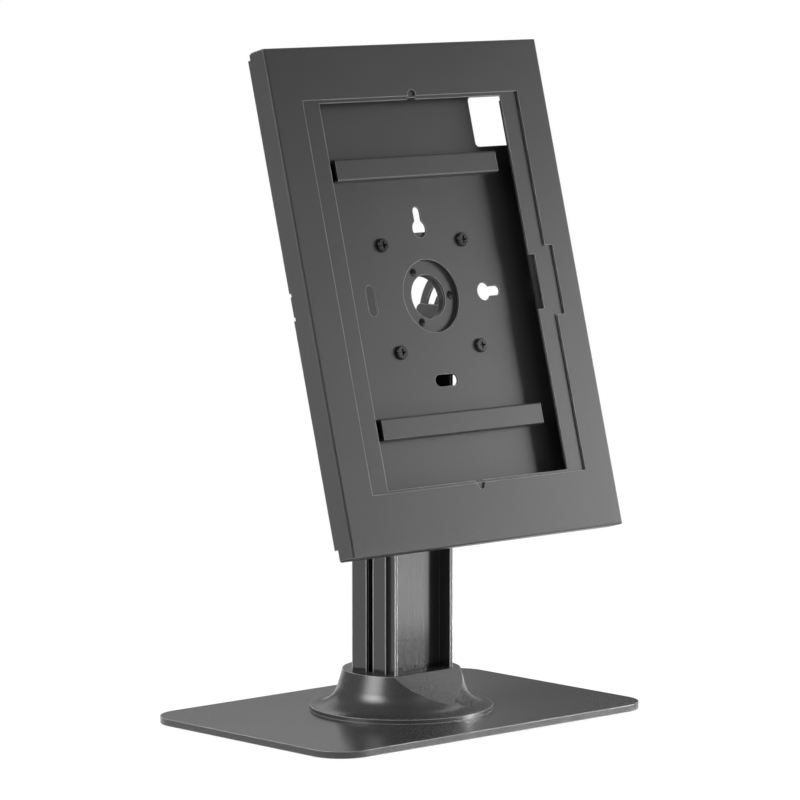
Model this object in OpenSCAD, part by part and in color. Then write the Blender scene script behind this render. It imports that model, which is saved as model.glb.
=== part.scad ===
// Tablet security kiosk stand
// A weighted base plate carries a flared collar and a slotted column.
// A bracket on the column carries a tilting yoke, and the yoke carries a hub.
// The tablet tray swivels on the hub, and the front cover hooks onto the tray and locks.
// Units are millimetres, +Z is up, the viewer stands on the -Y side.
// The origin is the middle of the footprint, level with the underside of the feet.

/* [Base plate] */

// Width of the base plate
base_width = 239; // [200:1:300]
// Depth of the base plate
base_depth = 161; // [150:1:220]
// Thickness of the base plate
base_thickness = 3.85; // [3:0.05:8]
// Corner radius of the base plate
base_corner_radius = 20; // [4:1:40]
// Radius of each rubber foot
foot_radius = 10; // [6:0.5:14]
// Height of each rubber foot
foot_height = 1.5; // [1:0.1:5]
// Distance from the plate edge to the middle of a foot
foot_inset = 24; // [16:1:30]

/* [Collar] */

// Height of the collar above the base plate
collar_height = 23.05; // [18:0.05:35]
// Radius of the collar at its top edge
collar_top_radius = 33.1; // [30:0.1:36]
// Radius of the collar at its rim
collar_rim_radius = 51.4; // [48:0.1:60]
// Thickness of the rim
collar_rim_thickness = 2.45; // [1.5:0.05:4]
// Radius of the hollow sweep between the neck and the rim
collar_sweep_radius = 14.6; // [10:0.1:15]
// Slope of the neck away from upright, in degrees
collar_neck_slope = 16.1; // [10:0.1:20]
// How far in front of the axis the sloped front face starts
collar_face_y = 21.4; // [20:0.1:23]
// Slope of the front face away from level, in degrees
collar_face_slope = 41.7; // [38:0.1:45]

/* [Column] */

// Width of the column body
column_width = 48; // [44:0.5:49]
// Distance from the axis to the front of the column body
column_front = 13.1; // [12:0.1:15]
// Distance from the axis to the back of the column body
column_back = 14.7; // [14:0.1:18]
// Level of the top of the column above the table
column_top = 201.5; // [160:0.5:202]
// Inner width of the front channel
channel_width = 39.8; // [34:0.2:40]
// Distance from the axis to the floor of the front channel
channel_floor = 9.8; // [9.4:0.1:10.4]
// Thickness of the two front lips
lip_thickness = 1.95; // [1.5:0.05:2]
// Distance from the axis to the front edge of the lips
lip_front = 18.6; // [16:0.1:19]
// Opening of the slot in each side
side_slot_opening = 5.4; // [4:0.1:5.6]
// Radius of the screw holes that run up the column
boss_hole_radius = 2.1; // [1.6:0.1:2.2]

/* [Tilt] */

// Distance from the column axis forward to the tilt axis
pivot_front = 19.1; // [18:0.1:20]
// Height of the tilt axis above the top of the column
pivot_above_column = 21.6; // [21.5:0.1:38]
// Backward lean of the tablet head as drawn, in degrees
rest_lean = 15; // [0:1:45]
// Thickness of the bracket cheeks
cheek_thickness = 2.5; // [2:0.1:2.6]
// Height of the cheek top edge above the tilt axis
cheek_rise = 8; // [6:0.5:8]
// Length of the cheek below the column top
cheek_drop = 16; // [8:1:17]
// Sheet thickness of the yoke ears
ear_thickness = 1.6; // [1.2:0.1:2]
// Outer radius of the yoke ears
ear_radius = 34; // [33:0.5:35]
// Distance from the tilt axis down to the flat lower edge of the yoke ears
ear_drop = 28; // [24:0.5:30]
// Gap between a cheek and the yoke ear outside it
ear_gap = 0.4; // [0.3:0.05:0.6]
// Radius of the middle line of the curved tilt slot
tilt_slot_radius = 25.9; // [24:0.1:27]
// Width of the curved tilt slot
tilt_slot_width = 5.8; // [5.6:0.1:6.4]
// Tilt range allowed by the curved slot, in degrees
tilt_range = 60; // [30:1:60]
// Radius of the tilt bolt shanks
tilt_bolt_radius = 2.5; // [2:0.1:2.6]
// Running gap round the pivot bolt in the yoke ears
running_gap = 0.1; // [0.05:0.01:0.1]

/* [Hub] */

// Depth of the hub ring front face behind the head front
ring_depth = 15.6; // [15:0.1:15.8]
// Outer radius of the hub ring
ring_radius = 20.3; // [19.8:0.1:20.4]
// Thickness of the hub ring
ring_thickness = 1.5; // [1.2:0.1:1.6]
// Radius of the cable bore through the hub
hub_bore_radius = 12.5; // [8:0.1:13]
// Radius of the circle of hub screws
ring_screw_circle = 16.1; // [15.8:0.1:16.2]
// Side of the square turntable plate
turntable_side = 72; // [70:0.5:74]
// Thickness of the turntable plate
turntable_thickness = 2; // [1.5:0.1:2.2]
// Radius of the boss the turntable turns on
hub_boss_radius = 18.3; // [18.1:0.1:18.6]

/* [Tray] */

// Thickness of the tray sheet
tray_sheet = 1.2; // [1:0.1:1.5]
// Depth of the tray floor front face behind the head front
tray_floor_depth = 13.2; // [13:0.1:13.4]
// Gap between the tray rim and the cover wall
tray_gap = 1; // [0.8:0.1:1.4]
// Radius of the hub hole in the tray floor
tray_hub_hole_radius = 20.5; // [20.4:0.1:20.8]
// Distance of the tray screws from the hub middle, across and up
tray_screw_offset = 30; // [28:0.5:31]
// Length of the two support bars
bar_length = 120.4; // [80:0.2:130]
// Height of each support bar
bar_height = 12; // [8:0.5:16]
// Distance of the bars above and below the middle
bar_offset = 71.8; // [62:0.2:90]
// Depth of the front face of the bars behind the head front
bar_front_depth = 5.3; // [4:0.1:8]

/* [Front cover] */

// Width of the cover
cover_width = 204; // [196:1:220]
// Height of the cover
cover_height = 279.6; // [260:0.2:300]
// Thickness of the cover sheet
cover_sheet = 1.2; // [1:0.1:1.3]
// Outer bend radius of the cover
cover_bend_radius = 1.4; // [1.4:0.1:2.5]
// Depth of the left and right cover walls
side_wall_depth = 14; // [13.8:0.1:14.4]
// Depth of the bottom cover wall
end_wall_depth = 11.3; // [8:0.1:12]
// Depth of the top cover wall
top_wall_depth = 12.1; // [8:0.1:13]
// Width of the window in the cover
window_width = 161; // [140:1:164]
// Height of the window in the cover
window_height = 217; // [180:1:220]
// Height of the window middle above the head middle
window_rise = 1.6; // [0:0.1:3]
// Depth of the button recess on the right window edge
button_recess_depth = 5.8; // [3:0.1:7]
// Height of the button recess in the cover
button_recess_height = 39.6; // [20:0.1:50]

/* [Mask] */

// Thickness of the mask behind the cover
mask_thickness = 1; // [0.8:0.1:1.2]
// Width of the mask opening
mask_opening_width = 136; // [120:1:138]
// Height of the mask opening
mask_opening_height = 213.7; // [170:0.1:215]
// Height of the mask opening middle above the head middle
mask_rise = 1.45; // [0:0.05:3]
// Thickness of the foam strips behind the mask
pad_thickness = 1; // [0.6:0.1:1.1]
// Width of the foam strips behind the mask
pad_width = 14; // [8:0.5:16]

/* [Lock] */

// Distance of the lock from the head middle
lock_offset = 88; // [86:0.1:88]
// Radius of the lock rotor
rotor_radius = 5.5; // [4.5:0.1:5.6]
// Reach of the cam beyond the rotor middle
cam_reach = 11; // [10.6:0.1:11.2]

/* [Hidden] */

$fn = 96;
slack = 1;
base_under = foot_height;
base_top = base_under + base_thickness;
collar_top = base_top + collar_height;
rim_top = base_top + collar_rim_thickness;
half_column = column_width / 2;
half_channel = channel_width / 2;
socket_gap = 0.2;
side_slot_y = 0.1;
side_slot_lip = 1.8;
side_slot_inner = 17;
side_slot_half = 7.5;
boss_wide_x = 17;
boss_wide_y = 11;
boss_near_x = 7;
boss_near_y = 4;
core_half_width = 12;
core_front = 8.2;
core_back = 12.6;
base_bolt_shank = boss_hole_radius - 0.1;
cap_screw_head = 3.2;
cap_screw_rise = 2;
cap_screw_length = 12;
cap_screw_socket = 1.5;
cap_screw_socket_depth = 1;
base_bolt_head = 4.6;
base_bolt_length = 16;
countersink_depth = 2.4;

cheek_gap = 0.1;
cheek_inner = half_column + cheek_gap;
cheek_outer = cheek_inner + cheek_thickness;
cheek_nose = 5.5;
cap_thickness = 2.5;
cable_notch_half = 9;
cable_notch_floor = 10.6;
ear_inner = cheek_outer + ear_gap;
ear_outer = ear_inner + ear_thickness;
lock_bolt_angle = -10;
slot_start = lock_bolt_angle;
slot_end = lock_bolt_angle + tilt_range;
slot_end_step = 0.05;
bolt_head_radius = 4.6;
bolt_head_height = 3;
bolt_washer_radius = 5;
bolt_washer_thickness = 1;
bolt_nut_radius = 4.6;
bolt_nut_thickness = 2.8;
moving_gap = 0.3;

pivot_level = column_top + pivot_above_column;
pivot_depth = 22.5;
pivot_rise = -14.2;
tray_back_depth = tray_floor_depth + tray_sheet;
turntable_back = tray_back_depth + turntable_thickness;
ring_back = ring_depth + ring_thickness;
lip_front_depth = ring_back + moving_gap;
lip_ring_thickness = 1.3;
lip_back_depth = lip_front_depth + lip_ring_thickness;
washer_front = lip_back_depth + moving_gap;
friction_thickness = 0.7;
web_front = washer_front + friction_thickness;
web_plate = 2;
web_back = web_front + web_plate;
dish_inner = ring_radius + 0.5;
dish_outer = dish_inner + 2.2;
disc_radius = 22.7;
web_top = 30;
web_relief = 4;
web_corner = 6;
turntable_corner = 3;
ring_screw_shank = 1.1;
ring_screw_head = 2.3;
ring_screw_rise = 1.3;
ring_screw_length = 5;
ring_recess_length = 2.4;
ring_recess_width = 0.5;
ring_recess_deep = 0.8;

half_cover_width = cover_width / 2;
half_cover_height = cover_height / 2;
half_tray_width = half_cover_width - cover_sheet - tray_gap;
half_tray_height = half_cover_height - cover_sheet - tray_gap;
tray_rim_depth = 2.8;
tray_bend_radius = 1.8;
tray_screw_hole = 2.15;
tray_screw_shank = 2;
tray_screw_head = 3.9;
tray_screw_face = 3.4;
tray_screw_edge = 1.2;
tray_screw_rise = 1.9;
tray_screw_tip = 19.1;
tray_recess_length = 4;
tray_recess_width = 1;
tray_recess_deep = 1.3;
tray_nut_radius = 4.04;
tray_nut_thickness = 2.4;
keyhole_radius = 5;
keyhole_slot = 5.3;
keyhole_top = 37.9;
keyhole_top_end = 50.2;
keyhole_right = 40.2;
keyhole_right_end = 52.2;
left_slot_x = -44.3;
left_slot_width = 6.6;
left_slot_height = 17.3;
low_slot_x = 0.2;
low_slot_z = -47.4;
low_slot_width = 16.7;
low_slot_height = 6.7;
camera_left = 54;
camera_right = 85;
camera_bottom = 81.9;
camera_top = 110.3;
camera_corner = 2.5;
bar_bend_radius = 1;

corner_cut_top = 3.9;
corner_cut_low = 6.8;
rear_chamfer = 1.3;
corner_chamfer = 0.9;
hook_half = 5.6;
hook_drop = 0.3;
relief_height = 1.8;
hook_length = 6;
hook_slot_half = 6.3;
hook_slot_length = 5.6;
hook_slot_depth = 12.1;
catch_depth = 10.7;
catch_thickness = 1.2;
catch_half = 9;
catch_length = 3.4;
catch_notch_half = 10;
catch_notch_depth = 12.5;
notch_radius = 2.9;
notch_depth = 3.6;
button_corner = 1;
mask_gap = 0.6;
mask_recess_depth = 4.4;
mask_recess_height = 31.2;
mask_nick_depth = 1;
mask_nick_width = 6;
pad_height = 208;

barrel_radius = 9;
barrel_back = 21;
spigot_radius = 7;
spigot_front = 10.6;
lock_hole_radius = 7.1;
lock_nut_front = 11;
lock_nut_radius = 9.8;
rotor_bore = rotor_radius + 0.05;
rotor_front = 10.4;
rotor_head_front = 21.3;
rotor_back = 22.1;
rotor_head_radius = 6.6;
rotor_square = 5;
rotor_square_front = 8.6;
cam_front = 8.8;
cam_thickness = 1.5;
cam_half_width = 4.5;
cam_square_gap = 0.05;
cam_screw_head = 3.6;
cam_screw_front = 7.2;
cam_screw_shank = 1.4;
key_slot_width = 1.4;
key_slot_length = 7;
key_slot_depth = 1.6;

// Shared shapes

module round_rect(width, height, radius) {
  square([width - 2 * radius, height], center = true);
  square([width, height - 2 * radius], center = true);
  for (sx = [-1, 1]) {
    for (sz = [-1, 1]) {
      translate([sx * (width / 2 - radius), sz * (height / 2 - radius)])
        circle(radius);
    }
  }
}

// A slot lying across, with round ends
module slot_outline(length, width) {
  square([length - width, width], center = true);
  for (sx = [-1, 1]) {
    translate([sx * (length - width) / 2, 0])
      circle(width / 2);
  }
}

// Draws in head coordinates: across, depth behind the front, height above the middle
module in_head() {
  translate([0, -pivot_front, pivot_level])
    rotate([-rest_lean, 0, 0])
      translate([0, -pivot_depth, -pivot_rise])
        children();
}

// Raises an outline drawn across and up into a plate between two depths
module head_plate(front, back) {
  translate([0, back, 0])
    rotate([90, 0, 0])
      linear_extrude(back - front)
        children();
}

// Raises an outline drawn forward and up into a plate between two places across
module side_plate(inner, outer) {
  translate([inner, 0, 0])
    rotate([90, 0, 90])
      linear_extrude(outer - inner)
        children();
}

// A round pin between two places across, on an axis at y, z
module cross_pin(inner, outer, y, z, radius) {
  translate([inner, y, z])
    rotate([0, 90, 0])
      cylinder(h = outer - inner, r = radius);
}

// A pan of sheet: half sizes, two depths and an outside bend radius
// The closed face is at the first depth, the open side at the second
module pan_solid(half_w, half_h, closed, open, radius) {
  way = open > closed ? 1 : -1;
  bend = closed + way * radius;
  lo = min(bend, open);
  hi = max(bend, open);
  face = min(closed, bend);
  intersection() {
    translate([0, 0, -half_h])
      linear_extrude(2 * half_h) {
        translate([-half_w, lo])
          square([2 * half_w, hi - lo]);
        translate([radius - half_w, face])
          square([2 * (half_w - radius), radius]);
        for (sx = [-1, 1]) {
          translate([sx * (half_w - radius), bend])
            circle(radius);
        }
      }
    side_plate(-half_w, half_w) {
      translate([lo, -half_h])
        square([hi - lo, 2 * half_h]);
      translate([face, radius - half_h])
        square([radius, 2 * (half_h - radius)]);
      for (sz = [-1, 1]) {
        translate([bend, sz * (half_h - radius)])
          circle(radius);
      }
    }
  }
}

// Base

module boss_places() {
  for (sx = [-1, 1]) {
    translate([sx * boss_wide_x, boss_wide_y, 0])
      children();
    translate([sx * boss_near_x, boss_near_y, 0])
      children();
  }
}

module base_plate() {
  color("dimgray")
    difference() {
      translate([0, 0, base_under])
        linear_extrude(base_thickness)
          round_rect(base_width, base_depth, base_corner_radius);
      boss_places() {
        translate([0, 0, base_under - slack])
          cylinder(h = base_thickness + 2 * slack, r = base_bolt_shank + 0.4);
        translate([0, 0, base_under])
          cylinder(h = countersink_depth, r1 = base_bolt_head + 0.3, r2 = base_bolt_shank + 0.4);
        translate([0, 0, base_under - slack])
          cylinder(h = slack, r = base_bolt_head + 0.3);
      }
    }
}

module feet() {
  color("black")
    for (sx = [-1, 1]) {
      for (sy = [-1, 1]) {
        translate([sx * (base_width / 2 - foot_inset), sy * (base_depth / 2 - foot_inset), 0])
          cylinder(h = foot_height, r = foot_radius);
      }
    }
}

module base_bolts() {
  color("silver")
    boss_places()
      difference() {
        union() {
          translate([0, 0, base_under + 0.2])
            cylinder(h = countersink_depth - 0.2, r1 = base_bolt_head - 0.1, r2 = base_bolt_shank);
          translate([0, 0, base_under + 0.2])
            cylinder(h = base_bolt_length, r = base_bolt_shank);
        }
        translate([0, 0, base_under - slack])
          cylinder(h = slack + 1.4, r = 1.7, $fn = 6);
      }
}

// The column outline grown by a gap, as cut into the collar
module column_outline(gap) {
  difference() {
    union() {
      translate([-half_column - gap, -column_front - gap])
        square([column_width + 2 * gap, column_front + column_back + 2 * gap]);
      for (sx = [-1, 1]) {
        translate([sx * (half_channel + lip_thickness / 2) - lip_thickness / 2 - gap, -lip_front - gap])
          square([lip_thickness + 2 * gap, lip_front]);
      }
    }
    translate([-half_channel + gap, -lip_front - slack])
      square([channel_width - 2 * gap, lip_front + slack - channel_floor - gap]);
  }
}

module base_collar() {
  lean = [cos(collar_neck_slope), sin(collar_neck_slope)];
  sweep_z = rim_top + collar_sweep_radius;
  sweep_x = collar_top_radius
    + (collar_sweep_radius - (sweep_z - collar_top) * lean[1]) / lean[0];
  face_run = 18;
  face_drop = face_run * tan(collar_face_slope);
  color("dimgray")
    difference() {
      rotate_extrude()
        difference() {
          polygon([
            [0, base_top],
            [collar_rim_radius, base_top],
            [collar_rim_radius, rim_top],
            [sweep_x, rim_top],
            [sweep_x, sweep_z],
            [sweep_x - collar_sweep_radius * lean[0], sweep_z - collar_sweep_radius * lean[1]],
            [collar_top_radius, collar_top],
            [0, collar_top]
          ]);
          translate([sweep_x, sweep_z])
            circle(collar_sweep_radius);
        }
      side_plate(-collar_rim_radius, collar_rim_radius)
        polygon([
          [-collar_face_y, collar_top],
          [-collar_face_y - face_run, collar_top - face_drop],
          [-collar_face_y - face_run - 5, collar_top - face_drop - 2.9],
          [-collar_rim_radius - 2, rim_top + 0.6],
          [-collar_rim_radius - 2, collar_top + slack],
          [-collar_face_y, collar_top + slack]
        ]);
      translate([0, 0, base_top - slack])
        linear_extrude(collar_height + 2 * slack)
          column_outline(socket_gap);
    }
}

module column() {
  slot_front = side_slot_y - side_slot_opening / 2;
  slot_rear = side_slot_y + side_slot_opening / 2;
  color("silver")
    translate([0, 0, base_top])
      linear_extrude(column_top - base_top)
        difference() {
          column_outline(0);
          for (side = [0, 1]) {
            mirror([side, 0]) {
              translate([half_column - side_slot_lip - slack, slot_front])
                square([side_slot_lip + 2 * slack, slot_rear - slot_front]);
              translate([side_slot_inner, side_slot_y - side_slot_half])
                square([half_column - side_slot_lip - side_slot_inner, 2 * side_slot_half]);
            }
          }
          for (sx = [-1, 1]) {
            translate([sx * boss_wide_x, boss_wide_y])
              circle(boss_hole_radius);
            translate([sx * boss_near_x, boss_near_y])
              circle(boss_hole_radius);
          }
          translate([-core_half_width, core_front])
            square([2 * core_half_width, core_back - core_front]);
        }
}

// Tilt bracket

module cheek_outline() {
  top = pivot_level + cheek_rise;
  corner = 4;
  rear = column_back - 0.7;
  translate([-pivot_front, pivot_level])
    circle(cheek_nose);
  polygon([
    [-pivot_front + cheek_nose * cos(200), pivot_level + cheek_nose * sin(200)],
    [-pivot_front + cheek_nose * cos(120), pivot_level + cheek_nose * sin(120)],
    [-pivot_front + 3.2, top],
    [rear - corner, top],
    [rear, top - corner],
    [rear, column_top - cheek_drop],
    [-column_front, column_top - cheek_drop],
    [-column_front, column_top]
  ]);
  translate([rear - corner, top - corner])
    circle(corner);
}

module lock_bolt_place() {
  translate([-pivot_front + tilt_slot_radius * cos(lock_bolt_angle),
             pivot_level + tilt_slot_radius * sin(lock_bolt_angle)])
    children();
}

module column_bracket() {
  color("dimgray") {
    for (side = [0, 1]) {
      mirror([side, 0, 0])
        side_plate(cheek_inner, cheek_outer)
          difference() {
            cheek_outline();
            translate([-pivot_front, pivot_level])
              circle(tilt_bolt_radius + running_gap);
            lock_bolt_place()
              circle(tilt_bolt_radius + running_gap);
          }
    }
    translate([0, 0, column_top])
      linear_extrude(cap_thickness)
        difference() {
          translate([-cheek_outer + slack, -column_front])
            square([2 * cheek_outer - 2 * slack, column_front + column_back - 0.7]);
          translate([-cable_notch_half, -column_front - slack])
            square([2 * cable_notch_half, column_front + slack - cable_notch_floor]);
          for (sx = [-1, 1]) {
            translate([sx * boss_wide_x, boss_wide_y])
              circle(base_bolt_shank + 0.4);
            translate([sx * boss_near_x, boss_near_y])
              circle(base_bolt_shank + 0.4);
          }
        }
  }
}

module cap_screws() {
  color("silver")
    for (sx = [-1, 1]) {
      translate([sx * boss_wide_x, boss_wide_y, column_top + cap_thickness])
        cap_screw();
      translate([sx * boss_near_x, boss_near_y, column_top + cap_thickness])
        cap_screw();
    }
}

module cap_screw() {
  difference() {
    union() {
      translate([0, 0, -cap_screw_length])
        cylinder(h = cap_screw_length + slack, r = base_bolt_shank);
      cylinder(h = cap_screw_rise, r = cap_screw_head);
    }
    translate([0, 0, cap_screw_rise - cap_screw_socket_depth])
      cylinder(h = cap_screw_socket_depth + slack, r = cap_screw_socket, $fn = 6);
  }
}

module tilt_pair() {
  for (side = [0, 1]) {
    mirror([side, 0, 0]) {
      translate([0, -pivot_front, pivot_level])
        children();
      translate([0, -pivot_front + tilt_slot_radius * cos(lock_bolt_angle),
                 pivot_level + tilt_slot_radius * sin(lock_bolt_angle)])
        children();
    }
  }
}

module tilt_bolts() {
  seat = ear_outer + moving_gap + bolt_washer_thickness;
  tip = cheek_inner - bolt_nut_thickness - 0.4;
  color("silver")
    tilt_pair()
      difference() {
        union() {
          cross_pin(tip, seat + 0.5, 0, 0, tilt_bolt_radius);
          cross_pin(seat, seat + bolt_head_height, 0, 0, bolt_head_radius);
        }
        translate([seat + bolt_head_height - 1.6, 0, 0])
          rotate([0, 90, 0])
            cylinder(h = 3, r = 1.75, $fn = 6);
      }
}

module tilt_washers() {
  seat = ear_outer + moving_gap;
  color("silver")
    tilt_pair()
      difference() {
        cross_pin(seat, seat + bolt_washer_thickness, 0, 0, bolt_washer_radius);
        cross_pin(seat - slack, seat + 2 * slack, 0, 0, tilt_bolt_radius + 0.1);
      }
}

module tilt_nuts() {
  inner = cheek_inner - bolt_nut_thickness;
  color("silver")
    tilt_pair()
      difference() {
        translate([inner, 0, 0])
          rotate([0, 90, 0])
            cylinder(h = bolt_nut_thickness, r = bolt_nut_radius, $fn = 6);
        cross_pin(inner - slack, inner + bolt_nut_thickness + slack, 0, 0, tilt_bolt_radius + 0.1);
      }
}

// Yoke and hub, in head coordinates

module ring_screw_places() {
  for (turn = [0, 120, 240]) {
    rotate([0, -turn, 0])
      translate([ring_screw_circle, 0, 0])
        children();
  }
}

// A round bar along the depth axis between two depths
module depth_bar(front, back, radius) {
  translate([0, front, 0])
    rotate([-90, 0, 0])
      cylinder(h = back - front, r = radius);
}

module ear_outline() {
  reach = 2 * ear_radius;
  translate([pivot_depth, pivot_rise])
    difference() {
      intersection() {
        circle(ear_radius);
        translate([web_front - pivot_depth, -ear_drop])
          square([2 * ear_radius, ear_radius + ear_drop + slack]);
      }
      circle(tilt_bolt_radius + running_gap);
      intersection() {
        difference() {
          circle(tilt_slot_radius + tilt_slot_width / 2);
          circle(tilt_slot_radius - tilt_slot_width / 2);
        }
        polygon([
          [0, 0],
          [reach * cos(slot_start), reach * sin(slot_start)],
          [reach * cos((slot_start + slot_end) / 2), reach * sin((slot_start + slot_end) / 2)],
          [reach * cos(slot_end), reach * sin(slot_end)]
        ]);
      }
      for (place = [slot_start, slot_end]) {
        rotate(place)
          translate([tilt_slot_radius, 0])
            circle(tilt_slot_width / 2 - slot_end_step);
      }
    }
}

module tilt_yoke() {
  color("dimgray")
    in_head()
      difference() {
        union() {
          head_plate(web_front, web_back) {
            circle(disc_radius);
            translate([-ear_outer, web_relief])
              square([2 * ear_outer, web_top - web_corner - web_relief]);
            translate([web_corner - ear_outer, web_relief])
              square([2 * (ear_outer - web_corner), web_top - web_relief]);
            for (sx = [-1, 1]) {
              translate([sx * (ear_outer - web_corner), web_top - web_corner])
                circle(web_corner);
            }
          }
          depth_bar(ring_back, web_front + slack, hub_boss_radius);
          for (side = [0, 1]) {
            mirror([side, 0, 0])
              side_plate(ear_inner, ear_outer)
                ear_outline();
          }
        }
        depth_bar(ring_back - slack, web_back + slack, hub_bore_radius);
        ring_screw_places()
          depth_bar(ring_back - slack, web_back + slack, ring_screw_shank);
      }
}

module friction_washer() {
  color("black")
    in_head()
      difference() {
        depth_bar(washer_front, web_front, dish_outer - 0.4);
        depth_bar(washer_front - slack, web_front + slack, hub_boss_radius + 0.2);
      }
}

module hub_ring() {
  color("dimgray")
    in_head()
      difference() {
        depth_bar(ring_depth, ring_back, ring_radius);
        depth_bar(ring_depth - slack, ring_back + slack, hub_bore_radius);
        ring_screw_places()
          depth_bar(ring_depth - slack, ring_back + slack, ring_screw_shank + 0.1);
      }
}

module ring_screws() {
  color("silver")
    in_head()
      ring_screw_places()
        difference() {
          union() {
            depth_bar(ring_depth, ring_depth + ring_screw_length, ring_screw_shank - 0.05);
            intersection() {
              depth_bar(ring_depth - ring_screw_rise, ring_depth, ring_screw_head);
              translate([0, ring_depth + 1.4, 0])
                sphere(2.7);
            }
          }
          cross_recess(ring_depth - ring_screw_rise, ring_recess_length, ring_recess_width, ring_recess_deep);
        }
}

// A crossed driver recess cut back from a screw face at the given depth
module cross_recess(face, length, width, deep) {
  for (turn = [0, 90]) {
    rotate([0, turn, 0])
      translate([-length / 2, face - slack, -width / 2])
        cube([length, deep + slack, width]);
  }
}

module turntable_plate() {
  color("dimgray")
    in_head()
      difference() {
        head_plate(tray_back_depth, turntable_back)
          round_rect(turntable_side, turntable_side, turntable_corner);
        depth_bar(tray_back_depth - slack, turntable_back + slack, dish_inner);
        tray_screw_places()
          depth_bar(tray_back_depth - slack, turntable_back + slack, tray_screw_hole);
      }
}

// The ring welded behind the turntable plate, whose inward lip is held between the hub ring and the yoke
module turntable_cup() {
  color("dimgray")
    in_head()
      difference() {
        depth_bar(turntable_back, lip_back_depth, dish_outer);
        depth_bar(turntable_back - slack, lip_front_depth, dish_inner);
        depth_bar(turntable_back, lip_back_depth + slack, hub_boss_radius + running_gap);
      }
}

// Tray, in head coordinates

module tray_screw_places() {
  for (sx = [-1, 1]) {
    for (sz = [-1, 1]) {
      translate([sx * tray_screw_offset, 0, sz * tray_screw_offset])
        children();
    }
  }
}

module tray_holes() {
  circle(tray_hub_hole_radius);
  for (sx = [-1, 1]) {
    for (sz = [-1, 1]) {
      translate([sx * tray_screw_offset, sz * tray_screw_offset])
        circle(tray_screw_hole);
    }
  }
  translate([0, keyhole_top])
    circle(keyhole_radius);
  translate([-keyhole_slot / 2, keyhole_top])
    square([keyhole_slot, keyhole_top_end - keyhole_slot / 2 - keyhole_top]);
  translate([0, keyhole_top_end - keyhole_slot / 2])
    circle(keyhole_slot / 2);
  translate([keyhole_right, 0])
    circle(keyhole_radius);
  translate([keyhole_right, -keyhole_slot / 2])
    square([keyhole_right_end - keyhole_slot / 2 - keyhole_right, keyhole_slot]);
  translate([keyhole_right_end - keyhole_slot / 2, 0])
    circle(keyhole_slot / 2);
  translate([left_slot_x, 0])
    rotate(90)
      slot_outline(left_slot_height, left_slot_width);
  translate([low_slot_x, low_slot_z])
    slot_outline(low_slot_width, low_slot_height);
  translate([(camera_left + camera_right) / 2, (camera_bottom + camera_top) / 2])
    round_rect(camera_right - camera_left, camera_top - camera_bottom, camera_corner);
  translate([lock_offset, 0])
    circle(lock_hole_radius);
}

module tray() {
  color("dimgray")
    in_head()
      difference() {
        pan_solid(half_tray_width, half_tray_height, tray_back_depth, tray_rim_depth, tray_bend_radius);
        pan_solid(half_tray_width - tray_sheet, half_tray_height - tray_sheet, tray_floor_depth,
                  tray_rim_depth - slack, tray_bend_radius - tray_sheet);
        head_plate(tray_floor_depth - 0.5, tray_back_depth + slack)
          tray_holes();
        translate([-half_tray_width - slack, hook_slot_depth, -hook_slot_half])
          cube([hook_slot_length + slack, 4, 2 * hook_slot_half]);
        translate([half_tray_width - tray_sheet - slack, tray_rim_depth - slack, -catch_notch_half])
          cube([tray_sheet + 2 * slack, catch_notch_depth - tray_rim_depth + slack, 2 * catch_notch_half]);
      }
}

module tray_screws() {
  color("silver")
    in_head()
      tray_screw_places()
        difference() {
          union() {
            depth_bar(tray_floor_depth - 0.2, tray_screw_tip, tray_screw_shank);
            depth_bar(tray_floor_depth - tray_screw_edge, tray_floor_depth, tray_screw_head);
            translate([0, tray_floor_depth - tray_screw_rise, 0])
              rotate([-90, 0, 0])
                cylinder(h = tray_screw_rise - tray_screw_edge, r1 = tray_screw_face, r2 = tray_screw_head);
          }
          cross_recess(tray_floor_depth - tray_screw_rise, tray_recess_length, tray_recess_width,
                       tray_recess_deep);
        }
}

module tray_nuts() {
  color("silver")
    in_head()
      tray_screw_places()
        difference() {
          translate([0, turntable_back, 0])
            rotate([-90, 0, 0])
              cylinder(h = tray_nut_thickness, r = tray_nut_radius, $fn = 6);
          depth_bar(turntable_back - slack, turntable_back + 2 * tray_nut_thickness, tray_screw_shank + 0.1);
        }
}

module support_bar(level) {
  inner_height = bar_height - 2 * tray_sheet;
  color("dimgray")
    in_head()
      side_plate(-bar_length / 2, bar_length / 2)
        difference() {
          union() {
            translate([bar_front_depth + bar_bend_radius, level - bar_height / 2])
              square([tray_floor_depth - bar_front_depth - bar_bend_radius, bar_height]);
            translate([bar_front_depth, level - bar_height / 2 + bar_bend_radius])
              square([2 * bar_bend_radius, bar_height - 2 * bar_bend_radius]);
            for (sz = [-1, 1]) {
              translate([bar_front_depth + bar_bend_radius, level + sz * (bar_height / 2 - bar_bend_radius)])
                circle(bar_bend_radius);
            }
          }
          translate([bar_front_depth + tray_sheet, level - inner_height / 2])
            square([tray_floor_depth, inner_height]);
        }
}

module bar_top() {
  support_bar(bar_offset);
}

module bar_bottom() {
  support_bar(-bar_offset);
}

// Front cover, in head coordinates

module window_outline() {
  right = window_width / 2 + button_recess_depth;
  translate([0, window_rise]) {
    square([window_width, window_height], center = true);
    translate([0, -button_recess_height / 2 + button_corner])
      square([right, button_recess_height - 2 * button_corner]);
    translate([0, -button_recess_height / 2])
      square([right - button_corner, button_recess_height]);
    for (sz = [-1, 1]) {
      translate([right - button_corner, sz * (button_recess_height / 2 - button_corner)])
        circle(button_corner);
      translate([0, sz * (window_height / 2 + notch_depth - notch_radius)])
        circle(notch_radius);
      translate([0, sz * (window_height / 2 + (notch_depth - notch_radius) / 2)])
        square([2 * notch_radius, notch_depth - notch_radius], center = true);
    }
  }
}

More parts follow.
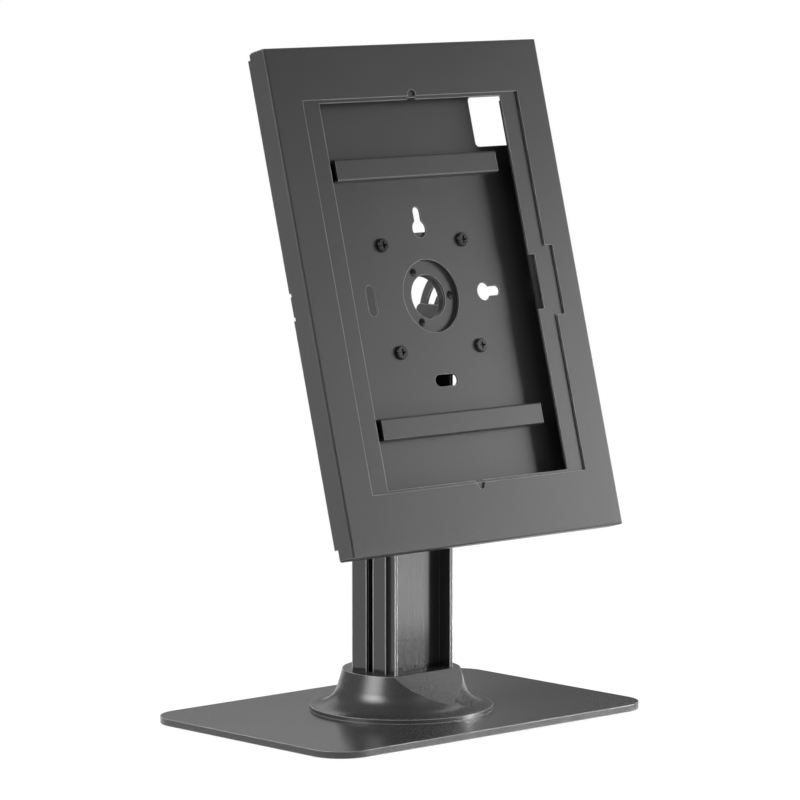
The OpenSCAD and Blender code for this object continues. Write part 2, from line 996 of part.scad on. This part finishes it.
module front_cover() {
  inner_width = half_cover_width - cover_sheet;
  inner_height = half_cover_height - cover_sheet;
  bend_depth = side_wall_depth - cover_bend_radius;
  color("dimgray")
    in_head() {
      difference() {
        pan_solid(half_cover_width, half_cover_height, 0, side_wall_depth, cover_bend_radius);
        pan_solid(inner_width, inner_height, cover_sheet, side_wall_depth + slack,
                  cover_bend_radius - cover_sheet);
        head_plate(-slack, cover_sheet + slack)
          window_outline();
        translate([-cover_width, top_wall_depth, half_cover_height - corner_cut_top])
          cube([2 * cover_width, side_wall_depth, corner_cut_top + slack]);
        translate([-cover_width, end_wall_depth, -half_cover_height - slack])
          cube([2 * cover_width, side_wall_depth, corner_cut_low + slack]);
        side_plate(-cover_width, cover_width)
          polygon([
            [top_wall_depth + slack, half_cover_height - rear_chamfer - slack],
            [top_wall_depth + slack, half_cover_height + slack],
            [top_wall_depth - rear_chamfer - slack, half_cover_height + slack]
          ]);
        head_plate(-slack, side_wall_depth + slack)
          for (sx = [-1, 1]) {
            for (sz = [-1, 1]) {
              translate([sx * half_cover_width, sz * half_cover_height])
                rotate(45)
                  square(sqrt(2) * corner_chamfer, center = true);
            }
          }
        translate([-half_cover_width - slack, bend_depth, -hook_half - relief_height])
          cube([cover_sheet + 2 * slack, cover_bend_radius + slack, 2 * (hook_half + relief_height)]);
      }
      translate([0, 0, -hook_half])
        linear_extrude(2 * hook_half) {
          translate([-half_cover_width, bend_depth])
            square([cover_sheet, hook_drop]);
          translate([-half_cover_width + cover_bend_radius, side_wall_depth - cover_sheet + hook_drop])
            square([hook_length - cover_bend_radius, cover_sheet]);
          intersection() {
            difference() {
              translate([-half_cover_width + cover_bend_radius, bend_depth + hook_drop])
                circle(cover_bend_radius);
              translate([-half_cover_width + cover_bend_radius, bend_depth + hook_drop])
                circle(cover_bend_radius - cover_sheet);
            }
            translate([-half_cover_width, bend_depth + hook_drop])
              square(cover_bend_radius);
          }
        }
    }
}

// The strip welded inside the cover's right wall, which the cam turns in front of
module lock_catch() {
  color("dimgray")
    in_head()
      translate([half_cover_width - cover_sheet - catch_length, catch_depth, -catch_half])
        cube([catch_length, catch_thickness, 2 * catch_half]);
}

module mask() {
  half_open = mask_opening_width / 2;
  color("black")
    in_head()
      head_plate(cover_sheet, cover_sheet + mask_thickness)
        difference() {
          square([2 * (half_cover_width - cover_sheet - mask_gap),
                  2 * (half_cover_height - cover_sheet - mask_gap)], center = true);
          translate([0, mask_rise]) {
            square([mask_opening_width, mask_opening_height], center = true);
            square([mask_nick_width, mask_opening_height + 2 * mask_nick_depth], center = true);
            translate([0, -mask_recess_height / 2])
              square([half_open + mask_recess_depth, mask_recess_height]);
          }
        }
}

module foam_pad(side) {
  near = mask_opening_width / 2;
  color("black")
    in_head()
      head_plate(cover_sheet + mask_thickness, cover_sheet + mask_thickness + pad_thickness)
        translate([side * (near + pad_width / 2), mask_rise])
          square([pad_width, pad_height], center = true);
}

module pad_left() {
  foam_pad(-1);
}

module pad_right() {
  foam_pad(1);
}

// Lock, in head coordinates

module at_lock() {
  in_head()
    translate([lock_offset, 0, 0])
      children();
}

module lock_barrel() {
  color("silver")
    at_lock()
      difference() {
        union() {
          depth_bar(tray_back_depth, barrel_back, barrel_radius);
          depth_bar(spigot_front, tray_back_depth + slack, spigot_radius);
        }
        depth_bar(spigot_front - slack, barrel_back + slack, rotor_bore);
      }
}

module lock_nut() {
  color("silver")
    at_lock()
      difference() {
        translate([0, lock_nut_front, 0])
          rotate([-90, 0, 0])
            rotate(30)
              cylinder(h = tray_floor_depth - lock_nut_front, r = lock_nut_radius, $fn = 6);
        depth_bar(lock_nut_front - slack, tray_floor_depth + slack, lock_hole_radius);
      }
}

module lock_rotor() {
  color("silver")
    at_lock()
      difference() {
        union() {
          depth_bar(rotor_front, rotor_back, rotor_radius);
          depth_bar(rotor_head_front, rotor_back, rotor_head_radius);
          translate([-rotor_square / 2, rotor_square_front, -rotor_square / 2])
            cube([rotor_square, rotor_front - rotor_square_front + slack, rotor_square]);
        }
        depth_bar(rotor_square_front - slack, rotor_front + 4, cam_screw_shank + 0.05);
        translate([-key_slot_width / 2, rotor_back - key_slot_depth, -key_slot_length / 2])
          cube([key_slot_width, key_slot_depth + slack, key_slot_length]);
      }
}

// The cam points up at rest, which is the open position
module lock_cam() {
  hole = rotor_square + 2 * cam_square_gap;
  color("silver")
    at_lock()
      head_plate(cam_front, cam_front + cam_thickness)
        difference() {
          union() {
            circle(cam_half_width);
            translate([-cam_half_width, 0])
              square([2 * cam_half_width, cam_reach - 1]);
            translate([-cam_half_width + 1, 0])
              square([2 * cam_half_width - 2, cam_reach]);
          }
          square(hole, center = true);
        }
}

module cam_screw() {
  color("silver")
    at_lock() {
      depth_bar(cam_screw_front, rotor_square_front, cam_screw_head);
      depth_bar(rotor_square_front - 0.1, rotor_front + 3, cam_screw_shank);
    }
}

base_plate();
feet();
base_collar();
base_bolts();
column();
column_bracket();
cap_screws();
tilt_bolts();
tilt_washers();
tilt_nuts();
tilt_yoke();
friction_washer();
hub_ring();
ring_screws();
turntable_plate();
turntable_cup();
tray();
tray_screws();
tray_nuts();
bar_top();
bar_bottom();
front_cover();
lock_catch();
mask();
pad_left();
pad_right();
lock_barrel();
lock_nut();
lock_rotor();
lock_cam();
cam_screw();
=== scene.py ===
"""Dresses the tablet security kiosk stand and sets it in a plain studio.

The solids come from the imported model. Each sub-assembly below is a class that
names its own pieces and their finishes. Units are metres, +Z is up, and the
person who uses the tablet stands on the -Y side.
"""

import logging
import math
from dataclasses import dataclass, field
from enum import Enum
from typing import Dict, List, Sequence, Tuple

import bmesh
import bpy
from mathutils import Matrix, Vector

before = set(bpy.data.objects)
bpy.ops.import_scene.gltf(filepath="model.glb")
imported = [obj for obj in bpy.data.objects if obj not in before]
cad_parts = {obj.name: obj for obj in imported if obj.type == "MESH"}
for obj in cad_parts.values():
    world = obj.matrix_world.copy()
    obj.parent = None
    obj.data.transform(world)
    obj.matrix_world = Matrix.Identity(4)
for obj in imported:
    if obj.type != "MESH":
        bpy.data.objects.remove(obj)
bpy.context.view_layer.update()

log = logging.getLogger("kiosk_stand")

Colour = Tuple[float, float, float]
Point = Tuple[float, float, float]
Span = Tuple[float, float]
Socket = str | int

# Sockets of the colour mix node by number, because several share a name.
MIX_FACTOR = 0
MIX_FIRST = 6
MIX_SECOND = 7
MIX_COLOUR = 2

# The middle part of a noise, stretched to the whole range for more contrast.
MID_TONES: Span = (0.3, 0.7)
BREAKUP_TONES: Span = (0.35, 0.65)

# Share of a small sphere inside the piece that is open: outer edge that gets the painted
# highlight, open face.
EDGE_OPENNESS: Span = (0.55, 0.92)
EDGE_SAMPLES = 8
ROUNDING_SAMPLES = 4


class Sheen(Enum):
    """Specular level of a soft material's skin."""

    MATTE = 0.25
    SATIN = 0.4


class Board:
    """A material and the few node calls that the finishes share."""

    def __init__(self, name: str) -> None:
        """Starts an empty material that ends in one Principled shader.

        Args:
            name: name of the material.
        """
        self.material = bpy.data.materials.new(name)
        self.material.use_nodes = True
        self.tree = self.material.node_tree
        self.tree.nodes.clear()
        self.output = self.add("ShaderNodeOutputMaterial")
        self.shader = self.add("ShaderNodeBsdfPrincipled")
        self.link(self.shader, "BSDF", self.output, "Surface")
        self.place = self.add("ShaderNodeTexCoord")

    def add(self, kind: str, **values: object) -> bpy.types.Node:
        """Adds a node and sets its plain properties.

        Args:
            kind: Blender's name of the node type.
            **values: properties of the node, by name.

        Returns:
            The new node.
        """
        node = self.tree.nodes.new(kind)
        for key, value in values.items():
            setattr(node, key, value)
        return node

    def link(self, a: bpy.types.Node, out: Socket, b: bpy.types.Node, into: Socket) -> None:
        """Joins an output of one node to an input of another.

        Args:
            a: node that gives the value.
            out: name or number of its output.
            b: node that takes the value.
            into: name or number of its input.
        """
        self.tree.links.new(a.outputs[out], b.inputs[into])

    def stretch(self, scale: Sequence[float]) -> bpy.types.Node:
        """Object coordinates, scaled along each axis.

        Args:
            scale: factor along each axis.

        Returns:
            The mapping node, whose output is "Vector".
        """
        node = self.add("ShaderNodeMapping")
        node.inputs["Scale"].default_value = scale
        self.link(self.place, "Object", node, "Vector")
        return node

    def noise(self, scale: float, detail: float,
              source: bpy.types.Node | None = None) -> bpy.types.Node:
        """A noise texture over the object.

        Args:
            scale: features per metre, or per unit of the source's coordinates.
            detail: layers of finer noise.
            source: node that gives the coordinates, or None for plain ones.

        Returns:
            The noise node, whose output is "Fac".
        """
        node = self.add("ShaderNodeTexNoise")
        node.inputs["Scale"].default_value = scale
        node.inputs["Detail"].default_value = detail
        if source is None:
            self.link(self.place, "Object", node, "Vector")
        else:
            self.link(source, "Vector", node, "Vector")
        return node

    def spread(self, node: bpy.types.Node, out: Socket, low: float, high: float,
               span: Span = (0.0, 1.0)) -> bpy.types.Node:
        """Maps a value from one range to another.

        Args:
            node: node that gives the value.
            out: name of its output.
            low: result at the start of the span.
            high: result at the end of the span.
            span: start and end of the values that are mapped.

        Returns:
            The map range node, whose output is "Result".
        """
        ranged = self.add("ShaderNodeMapRange", clamp=True)
        self.link(node, out, ranged, "Value")
        ranged.inputs["From Min"].default_value = span[0]
        ranged.inputs["From Max"].default_value = span[1]
        ranged.inputs["To Min"].default_value = low
        ranged.inputs["To Max"].default_value = high
        return ranged

    def roughen(self, node: bpy.types.Node, out: Socket, low: float, high: float,
                span: Span = (0.0, 1.0)) -> None:
        """Lets a texture vary the shader's roughness.

        Args:
            node: texture node.
            out: name of its output.
            low: roughness at the start of the span.
            high: roughness at the end of the span.
            span: start and end of the texture values that are mapped.
        """
        self.link(self.spread(node, out, low, high, span), "Result", self.shader, "Roughness")

    def tint(self, dark: Colour, light: Colour, by: bpy.types.Node) -> bpy.types.Node:
        """Blends two colours by a noise, in broad clouds.

        Args:
            dark: colour where the noise is low.
            light: colour where the noise is high.
            by: noise node.

        Returns:
            The mix node, whose colour is at MIX_COLOUR.
        """
        clouds = self.spread(by, "Fac", 0.0, 1.0, MID_TONES)
        mix = self.add("ShaderNodeMix", data_type="RGBA")
        mix.inputs[MIX_FIRST].default_value = (*dark, 1.0)
        mix.inputs[MIX_SECOND].default_value = (*light, 1.0)
        self.link(clouds, "Result", mix, MIX_FACTOR)
        return mix

    def cover(self, base: bpy.types.Node, colour: Colour, by: bpy.types.Node,
              out: Socket) -> bpy.types.Node:
        """Lays one colour over another by a value.

        Args:
            base: mix node with the colour beneath.
            colour: colour on top.
            by: node that gives the share of the top colour.
            out: name of its output.

        Returns:
            The mix node, whose colour is at MIX_COLOUR.
        """
        mix = self.add("ShaderNodeMix", data_type="RGBA")
        mix.inputs[MIX_SECOND].default_value = (*colour, 1.0)
        self.link(base, MIX_COLOUR, mix, MIX_FIRST)
        self.link(by, out, mix, MIX_FACTOR)
        return mix

    def paint(self, mix: bpy.types.Node) -> None:
        """Makes a mix node's colour the colour of the shader.

        Args:
            mix: the mix node.
        """
        self.link(mix, MIX_COLOUR, self.shader, "Base Color")

    def edge_highlight_mask(self, width: float) -> bpy.types.Node:
        """A value that is 1 on outer edges and 0 on open faces, the mask of the painted edge
        highlight.

        Args:
            width: width of the edge in metres.

        Returns:
            The map range node, whose output is "Result".
        """
        # Painted highlight: this mask lays a pale colour on outer edges in place of light
        # caught by rounded edges.
        depth = self.add("ShaderNodeAmbientOcclusion", samples=EDGE_SAMPLES,
                         inside=True, only_local=True)
        depth.inputs["Distance"].default_value = width
        return self.spread(depth, "AO", 1.0, 0.0, EDGE_OPENNESS)

    def relief(self, heights: Sequence[Tuple[bpy.types.Node, Socket, float]],
               rounding: float) -> None:
        """Adds bumps over rounded edges and joins them to the shader.

        Args:
            heights: node, output name and bump height in metres for each layer.
            rounding: radius of the edge rounding in metres.
        """
        last = self.add("ShaderNodeBevel", samples=ROUNDING_SAMPLES)
        last.inputs["Radius"].default_value = rounding
        for node, out, height in heights:
            bump = self.add("ShaderNodeBump")
            bump.inputs["Strength"].default_value = 1.0
            bump.inputs["Distance"].default_value = height
            self.link(node, out, bump, "Height")
            self.link(last, "Normal", bump, "Normal")
            last = bump
        self.link(last, "Normal", self.shader, "Normal")

    def set(self, **values: object) -> None:
        """Sets constant values on the shader.

        Args:
            **values: values by the name of the input, with _ for a space.
        """
        for key, value in values.items():
            self.shader.inputs[key.replace("_", " ")].default_value = value


@dataclass(frozen=True)
class PowderCoat:
    """Fine textured powder coat on sheet steel or a casting, with a painted highlight on outer
    edges.
    """

    name: str = "charcoal powder coat"
    dark: Colour = (0.034, 0.034, 0.035)
    light: Colour = (0.042, 0.042, 0.043)
    # Pale colour of the painted edge highlight.
    highlight_colour: Colour = (0.46, 0.46, 0.46)
    roughness: float = 0.34
    smoother: float = 0.05
    rougher: float = 0.07
    clouds_per_metre: float = 14.0
    highlight_breakup_per_metre: float = 60.0
    least_highlight: float = 0.6
    grain_per_metre: float = 2600.0
    grain_height: float = 0.000008
    peel_per_metre: float = 420.0
    peel_height: float = 0.000026
    edge: float = 0.0005

    def material(self) -> bpy.types.Material:
        """Builds the finish.

        Returns:
            The material.
        """
        board = Board(self.name)
        grain = board.noise(self.grain_per_metre, 2.0)
        peel = board.noise(self.peel_per_metre, 1.0)
        # Noise that breaks the painted edge highlight into stronger and weaker patches.
        highlight_breakup = board.spread(board.noise(self.highlight_breakup_per_metre, 3.0), "Fac",
                             self.least_highlight, 1.0, BREAKUP_TONES)
        highlight_share = board.add("ShaderNodeMath", operation="MULTIPLY")
        board.link(board.edge_highlight_mask(self.edge), "Result", highlight_share, 0)
        board.link(highlight_breakup, "Result", highlight_share, 1)
        base = board.tint(self.dark, self.light, board.noise(self.clouds_per_metre, 3.0))
        # Painted highlight: a pale colour laid over the coat on outer edges, in place of light
        # caught by the rounded edges.
        board.paint(board.cover(base, self.highlight_colour, highlight_share, "Value"))
        board.roughen(grain, "Fac", self.roughness - self.smoother,
                      self.roughness + self.rougher, MID_TONES)
        board.relief([(peel, "Fac", self.peel_height), (grain, "Fac", self.grain_height)],
                     self.edge)
        return board.material


@dataclass(frozen=True)
class DrawnAluminium:
    """Black anodised extrusion with faint drawn lines and a painted highlight on outer edges.
    """

    name: str = "black anodised aluminium"
    dark: Colour = (0.017, 0.017, 0.018)
    light: Colour = (0.020, 0.020, 0.021)
    # Pale colour of the painted edge highlight.
    lit_edge_colour: Colour = (0.50, 0.50, 0.51)
    roughness: float = 0.15
    smoother: float = 0.01
    rougher: float = 0.02
    specular: float = 0.58
    clouds_per_metre: float = 22.0
    lines_across: float = 2600.0
    lines_along: float = 14.0
    line_height: float = 0.000000025
    edge: float = 0.0008
    rounding: float = 0.0003

    def material(self) -> bpy.types.Material:
        """Builds the finish.

        Returns:
            The material.
        """
        board = Board(self.name)
        drawn = board.stretch((self.lines_across, self.lines_across, self.lines_along))
        lines = board.noise(1.0, 3.0, drawn)
        base = board.tint(self.dark, self.light, lines)
        # Painted highlight: a pale colour laid on outer edges, in place of light caught by the
        # rounded edges.
        board.paint(board.cover(base, self.lit_edge_colour, board.edge_highlight_mask(self.edge), "Result"))
        board.set(Specular_IOR_Level=self.specular)
        board.roughen(board.noise(self.clouds_per_metre, 2.0), "Fac",
                      self.roughness - self.smoother, self.roughness + self.rougher, MID_TONES)
        board.relief([(lines, "Fac", self.line_height)], self.rounding)
        return board.material


@dataclass(frozen=True)
class PlatedSteel:
    """Zinc or nickel plating on screws, washers and lock parts."""

    name: str
    dark: Colour
    light: Colour
    roughness: float
    metallic: float = 1.0
    smoother: float = 0.06
    rougher: float = 0.08
    clouds_per_metre: float = 160.0
    specks_per_metre: float = 1800.0
    speck_height: float = 0.000008
    edge: float = 0.00012

    def material(self) -> bpy.types.Material:
        """Builds the finish.

        Returns:
            The material.
        """
        board = Board(self.name)
        specks = board.noise(self.specks_per_metre, 3.0)
        board.paint(board.tint(self.dark, self.light, board.noise(self.clouds_per_metre, 4.0)))
        board.set(Metallic=self.metallic)
        board.roughen(specks, "Fac", self.roughness - self.smoother,
                      self.roughness + self.rougher, MID_TONES)
        board.relief([(specks, "Fac", self.speck_height)], self.edge)
        return board.material


@dataclass(frozen=True)
class SoftStuff:
    """Rubber, foam or plain dark plastic."""

    name: str
    dark: Colour
    light: Colour
    roughness: float
    pores_per_metre: float
    pore_height: float
    sheen: Sheen = Sheen.MATTE
    varies: float = 0.05
    clouds_per_metre: float = 60.0
    edge: float = 0.0003

    def material(self) -> bpy.types.Material:
        """Builds the finish.

        Returns:
            The material.
        """
        board = Board(self.name)
        pores = board.add("ShaderNodeTexVoronoi")
        pores.inputs["Scale"].default_value = self.pores_per_metre
        board.link(board.place, "Object", pores, "Vector")
        board.paint(board.tint(self.dark, self.light, board.noise(self.clouds_per_metre, 3.0)))
        board.roughen(pores, "Distance", self.roughness - self.varies,
                      self.roughness + self.varies)
        board.set(Specular_IOR_Level=self.sheen.value)
        board.relief([(pores, "Distance", self.pore_height)], self.edge)
        return board.material


@dataclass(frozen=True)
class Palette:
    """The finishes of the whole stand, by slot name."""

    coat: PowderCoat = PowderCoat()
    smooth_coat: PowderCoat = PowderCoat(
        "smooth charcoal coat", roughness=0.24, grain_height=0.000002, peel_height=0.000009)
    anodised: DrawnAluminium = DrawnAluminium()
    steel: PlatedSteel = PlatedSteel(
        "zinc plated steel", dark=(0.30, 0.30, 0.31), light=(0.42, 0.42, 0.43), roughness=0.34)
    black_steel: PlatedSteel = PlatedSteel(
        "black zinc steel", dark=(0.018, 0.018, 0.019), light=(0.03, 0.03, 0.031),
        roughness=0.25, metallic=0.5)
    plated: PlatedSteel = PlatedSteel(
        "nickel plated brass", dark=(0.50, 0.50, 0.50), light=(0.60, 0.60, 0.60), roughness=0.2)
    plastic: SoftStuff = SoftStuff(
        "dark bearing plastic", dark=(0.035, 0.035, 0.036), light=(0.055, 0.055, 0.056),
        roughness=0.5, pores_per_metre=900.0, pore_height=0.00001, sheen=Sheen.SATIN)
    rubber: SoftStuff = SoftStuff(
        "moulded rubber", dark=(0.022, 0.022, 0.022), light=(0.04, 0.04, 0.04),
        roughness=0.78, pores_per_metre=1100.0, pore_height=0.00002)
    foam: SoftStuff = SoftStuff(
        "closed cell foam", dark=(0.016, 0.016, 0.017), light=(0.03, 0.03, 0.031),
        roughness=0.9, pores_per_metre=1500.0, pore_height=0.00008)

    def build(self) -> Dict[str, bpy.types.Material]:
        """Builds every finish once.

        Returns:
            Materials by slot name.
        """
        slots = ("coat", "smooth_coat", "anodised", "steel", "black_steel", "plated",
                 "plastic", "rubber", "foam")
        return {slot: getattr(self, slot).material() for slot in slots}


@dataclass
class SubAssembly:
    """A group of pieces that belong together, with the finish of each."""

    title: str
    pieces: Dict[str, str] = field(default_factory=dict)

    def dress(self, nodes: Dict[str, bpy.types.Object],
              paints: Dict[str, bpy.types.Material]) -> None:
        """Gives each piece its finish.

        Args:
            nodes: the model's objects by name.
            paints: the finishes by slot name.
        """
        for name, slot in self.pieces.items():
            piece = nodes[name]
            piece.data.materials.clear()
            piece.data.materials.append(paints[slot])
            for polygon in piece.data.polygons:
                polygon.material_index = 0
            log.info("%s: %s in %s", self.title, name, slot)


@dataclass
class WeightedFoot(SubAssembly):
    """Base plate, rubber feet, collar and the bolts from below."""

    title: str = "foot"
    pieces: Dict[str, str] = field(default_factory=lambda: {
        "base_plate": "smooth_coat", "feet": "rubber", "base_collar": "smooth_coat",
        "base_bolts": "steel"})


@dataclass
class SlottedColumn(SubAssembly):
    """The extruded column, and the tilt bracket and bolts on its top."""

    title: str = "column"
    pieces: Dict[str, str] = field(default_factory=lambda: {
        "column": "anodised", "column_bracket": "coat", "cap_screws": "steel",
        "tilt_bolts": "black_steel", "tilt_washers": "black_steel", "tilt_nuts": "steel"})


@dataclass
class YokeAndHub(SubAssembly):
    """The tilting yoke, its hub ring and the friction washer."""

    title: str = "yoke"
    pieces: Dict[str, str] = field(default_factory=lambda: {
        "tilt_yoke": "coat", "friction_washer": "plastic", "hub_ring": "coat",
        "ring_screws": "black_steel"})


@dataclass
class TabletTray(SubAssembly):
    """The swivelling tray with its turntable, screws and support bars."""

    title: str = "tray"
    pieces: Dict[str, str] = field(default_factory=lambda: {
        "turntable_plate": "coat", "turntable_cup": "coat", "tray": "coat",
        "tray_screws": "black_steel", "tray_nuts": "steel",
        "bar_top": "coat", "bar_bottom": "coat"})


@dataclass
class FrontCover(SubAssembly):
    """The hooked front cover with its catch strip, mask and foam strips."""

    title: str = "cover"
    pieces: Dict[str, str] = field(default_factory=lambda: {
        "front_cover": "coat", "lock_catch": "coat", "mask": "coat",
        "pad_left": "foam", "pad_right": "foam"})


@dataclass
class CamLock(SubAssembly):
    """The lock that holds the cover shut."""

    title: str = "lock"
    pieces: Dict[str, str] = field(default_factory=lambda: {
        "lock_barrel": "plated", "lock_nut": "plated", "lock_rotor": "plated",
        "lock_cam": "steel", "cam_screw": "steel"})


def area_lamp(name: str, width: float, height: float, power: float) -> bpy.types.Object:
    """Makes a rectangular lamp that has no place yet.

    Args:
        name: name of the lamp.
        width: width in metres.
        height: height in metres.
        power: power in watts.

    Returns:
        The lamp object.
    """
    data = bpy.data.lights.new(name, "AREA")
    data.shape = "RECTANGLE"
    data.size = width
    data.size_y = height
    data.energy = power
    lamp = bpy.data.objects.new(name, data)
    lamp.rotation_mode = "QUATERNION"
    bpy.context.scene.collection.objects.link(lamp)
    return lamp


@dataclass
class Lamp:
    """A rectangular soft lamp aimed at a point, with angles in degrees."""

    name: str
    azimuth: float
    elevation: float
    distance: float
    width: float
    height: float
    power: float
    aim: Point = (0.0, -0.02, 0.19)
    beam: float = 180.0

    def build(self) -> bpy.types.Object:
        """Makes the lamp.

        Returns:
            The lamp object.
        """
        lamp = area_lamp(self.name, self.width, self.height, self.power)
        lamp.data.spread = math.radians(self.beam)
        turn, rise = math.radians(self.azimuth), math.radians(self.elevation)
        away = Vector((math.sin(turn) * math.cos(rise), -math.cos(turn) * math.cos(rise),
                       math.sin(rise)))
        lamp.location = Vector(self.aim) + away * self.distance
        lamp.rotation_quaternion = away.to_track_quat("Z", "Y")
        return lamp


@dataclass
class FloorPanel:
    """A long soft lamp that lies on the floor and shines up."""

    name: str
    azimuth: float
    near: float
    far: float
    width: float
    power: float
    above_floor: float = 0.002

    def build(self) -> bpy.types.Object:
        """Makes the lamp, with its length pointing away from the stand.

        Returns:
            The lamp object.
        """
        lamp = area_lamp(self.name, self.width, self.far - self.near, self.power)
        turn = math.radians(self.azimuth)
        middle = (self.near + self.far) / 2
        lamp.location = (math.sin(turn) * middle, -math.cos(turn) * middle, self.above_floor)
        facing_up = Matrix.Rotation(math.pi, 4, "X")
        lamp.rotation_quaternion = (Matrix.Rotation(turn, 4, "Z") @ facing_up).to_quaternion()
        return lamp


@dataclass
class Studio:
    """Pale floor, soft lamps, plain surroundings and the camera."""

    floor_radius: float = 40.0
    floor_segments: int = 96
    floor_paper: float = 0.9
    floor_roughness: float = 0.9
    floor_specular: float = 0.1
    floor_glow: float = 0.93
    floor_white: float = 1.06
    surround: float = 0.20
    lamps: List[Lamp] = field(default_factory=lambda: [
        Lamp("right key", azimuth=60.0, elevation=8.0, distance=1.9,
             width=1.0, height=0.56, power=14.5),
        Lamp("front soft", azimuth=2.0, elevation=32.0, distance=2.6,
             width=1.4, height=1.0, power=3.2),
        Lamp("left side", azimuth=-98.0, elevation=30.0, distance=0.6,
             width=0.44, height=0.66, power=0.95, aim=(0.0, 0.0, 0.025), beam=50.0),
        Lamp("right high", azimuth=90.0, elevation=47.0, distance=1.5,
             width=0.6, height=0.6, power=1.7, aim=(0.0, -0.03, 0.05)),
        Lamp("back soft", azimuth=156.0, elevation=20.0, distance=2.5,
             width=1.8, height=0.9, power=3.4, aim=(0.0, 0.0, 0.1)),
        Lamp("low strip", azimuth=52.0, elevation=1.5, distance=0.75,
             width=0.3, height=0.06, power=0.16, aim=(0.0, -0.03, 0.02), beam=12.0),
    ])
    panel: FloorPanel = field(default_factory=lambda: FloorPanel(
        "floor panel", azimuth=43.0, near=0.3, far=1.8, width=0.4, power=5.2))
    camera_place: Point = (-1.7812, -1.9359, 0.4809)
    camera_aim: Point = (-0.00106, 0.0, 0.17938)
    lens: float = 213.85
    sensor: float = 36.0
    nearest: float = 0.05
    farthest: float = 200.0

    def glowing_paper(self) -> bpy.types.Material:
        """Floor paper that the camera and reflections see as white.

        Light Path picks the white for camera, glossy and transmission rays. The
        rest of the share stays plain paper, which keeps a faint shadow.

        Returns:
            The material.
        """
        board = Board("studio floor paper")
        board.set(Base_Color=(self.floor_paper, self.floor_paper, self.floor_paper, 1.0),
                  Roughness=self.floor_roughness, Specular_IOR_Level=self.floor_specular)
        glow = board.add("ShaderNodeEmission")
        glow.inputs["Strength"].default_value = self.floor_white
        path = board.add("ShaderNodeLightPath")
        seen = board.add("ShaderNodeMath", operation="MAXIMUM")
        board.link(path, "Is Camera Ray", seen, 0)
        board.link(path, "Is Glossy Ray", seen, 1)
        either = board.add("ShaderNodeMath", operation="MAXIMUM")
        board.link(seen, "Value", either, 0)
        board.link(path, "Is Transmission Ray", either, 1)
        share = board.add("ShaderNodeMath", operation="MULTIPLY")
        board.link(either, "Value", share, 0)
        share.inputs[1].default_value = self.floor_glow
        blend = board.add("ShaderNodeMixShader")
        board.link(share, "Value", blend, 0)
        board.link(board.shader, "BSDF", blend, 1)
        board.link(glow, "Emission", blend, 2)
        board.link(blend, "Shader", board.output, "Surface")
        return board.material

    def floor(self) -> bpy.types.Object:
        """A wide pale floor that keeps a faint shadow.

        Returns:
            The floor object.
        """
        mesh = bpy.data.meshes.new("studio floor")
        shape = bmesh.new()
        bmesh.ops.create_circle(shape, cap_ends=True, radius=self.floor_radius,
                                segments=self.floor_segments)
        shape.to_mesh(mesh)
        shape.free()
        mesh.materials.append(self.glowing_paper())
        obj = bpy.data.objects.new("studio_floor", mesh)
        bpy.context.scene.collection.objects.link(obj)
        return obj

    def surroundings(self) -> None:
        """Even grey-white light from all round."""
        world = bpy.data.worlds.new("studio surround")
        world.use_nodes = True
        background = world.node_tree.nodes["Background"]
        background.inputs["Color"].default_value = (1.0, 1.0, 1.0, 1.0)
        background.inputs["Strength"].default_value = self.surround
        bpy.context.scene.world = world

    def camera(self) -> bpy.types.Object:
        """The camera at the photograph's viewing angle.

        Returns:
            The camera object.
        """
        data = bpy.data.cameras.new("camera")
        data.sensor_width = self.sensor
        data.lens = self.lens
        data.clip_start = self.nearest
        data.clip_end = self.farthest
        camera = bpy.data.objects.new("camera", data)
        camera.location = self.camera_place
        camera.rotation_mode = "QUATERNION"
        aim = Vector(self.camera_aim) - Vector(self.camera_place)
        camera.rotation_quaternion = aim.to_track_quat("-Z", "Y")
        bpy.context.scene.collection.objects.link(camera)
        bpy.context.scene.camera = camera
        return camera

    def build(self) -> None:
        """Sets up floor, surroundings, lamps, camera and plain view settings."""
        self.floor()
        self.surroundings()
        for lamp in (*self.lamps, self.panel):
            lamp.build()
            log.info("lamp: %s", lamp.name)
        self.camera()
        bpy.context.scene.view_settings.view_transform = "Standard"


def main() -> None:
    """Dresses the stand and builds the studio round it."""
    logging.basicConfig(level=logging.INFO, format="%(name)s %(message)s")
    paints = Palette().build()
    for part in (WeightedFoot(), SlottedColumn(), YokeAndHub(), TabletTray(), FrontCover(),
                 CamLock()):
        part.dress(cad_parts, paints)
    Studio().build()


if __name__ == "__main__":
    main()
